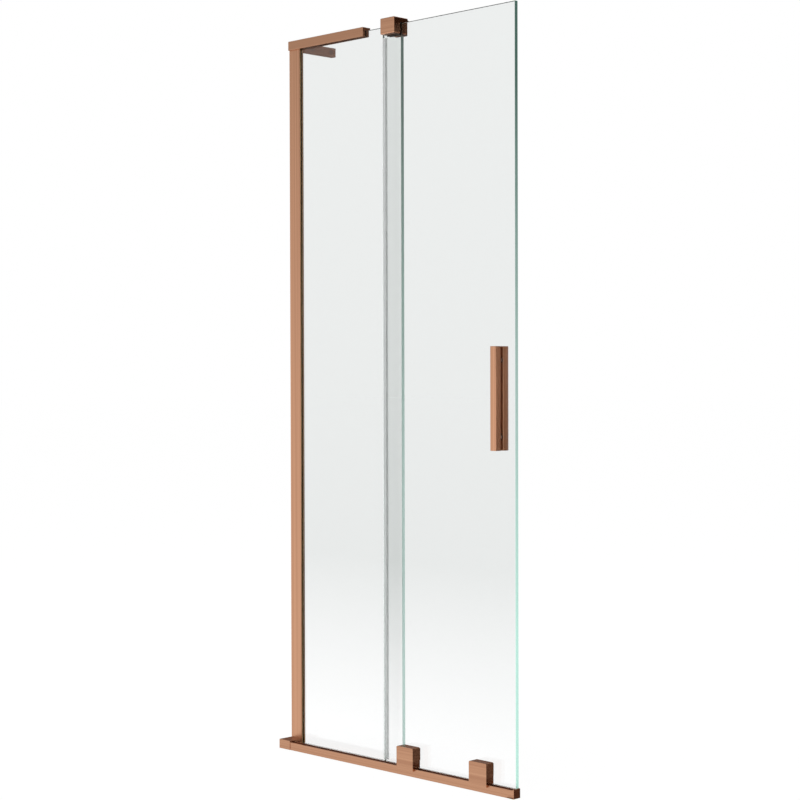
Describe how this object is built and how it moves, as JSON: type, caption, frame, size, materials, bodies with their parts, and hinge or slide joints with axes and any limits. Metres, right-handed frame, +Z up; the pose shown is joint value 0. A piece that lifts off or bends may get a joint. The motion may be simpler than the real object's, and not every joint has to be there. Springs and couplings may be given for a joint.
{
  "type": "sliding bath screen",
  "caption": "Sliding glass bath screen with a brushed copper wall profile, top support, rim rail, roller carriages, guide block and a through-glass handle.",
  "frame": {"origin": "on the wall plane, at bath rim level, in the middle plane of the fixed glass", "axes": "+X out from the wall along the glass, -Y the side of the sliding pane, +Z up"},
  "size_m": [0.661, 0.1655, 1.5],
  "materials": {
    "copper": "brushed copper-coloured anodising",
    "glass": "clear toughened glass with a green edge",
    "clear_seal": "clear extruded seal",
    "gasket": "grey translucent gasket",
    "nylon": "white nylon",
    "steel": "stainless steel",
    "dark_stop": "dark moulded plastic"
  },
  "bodies": {
    "frame": {"wall_profile": "copper", "front_gasket": "gasket", "rear_gasket": "gasket", "fixed_glass": "glass", "sill_channel": "clear_seal", "support_bar": "copper", "support_grub_screws": "steel", "support_liner": "gasket", "wall_arm": "copper", "arm_caps": "copper", "arm_stud": "steel", "rail": "copper", "travel_stops": "dark_stop", "rail_bracket": "copper", "rail_end_cap": "copper", "guide_block": "copper", "guide_grub_screws": "steel", "guide_pads": "gasket", "guide_liner": "dark_stop"},
    "panel": {"sliding_glass": "glass", "edge_seal": "clear_seal", "drip_seal": "clear_seal", "left_housing": "copper", "right_housing": "copper", "left_clamp_plate": "copper", "right_clamp_plate": "copper", "housing_gaskets": "gasket", "plate_gaskets": "gasket", "clamp_sleeves": "nylon", "clamp_screws": "steel", "left_axle": "steel", "right_axle": "steel", "front_handle": "copper", "rear_handle": "copper", "handle_spacers": "copper", "handle_studs": "steel", "handle_sleeves": "nylon"},
    "left_wheel": {"left_roller": "nylon", "left_bearing": "steel"},
    "right_wheel": {"right_roller": "nylon", "right_bearing": "steel"}
  },
  "joints": [
    {"name": "panel_slide", "type": "slide", "parent": "frame", "child": "panel", "axis": [1, 0, 0], "range_m": [-0.25, 0]},
    {"name": "left_roll", "type": "hinge", "parent": "panel", "child": "left_wheel", "pos_m": [0.3785, -0.034, 0.0213], "axis": [0, 1, 0], "continuous": true},
    {"name": "right_roll", "type": "hinge", "parent": "panel", "child": "right_wheel", "pos_m": [0.5735, -0.034, 0.0213], "axis": [0, 1, 0], "continuous": true}
  ],
  "couplings": [
    {"joint": "left_roll", "follows": "panel_slide", "rad_per_m": 111.11},
    {"joint": "right_roll", "follows": "panel_slide", "rad_per_m": 111.11}
  ]
}
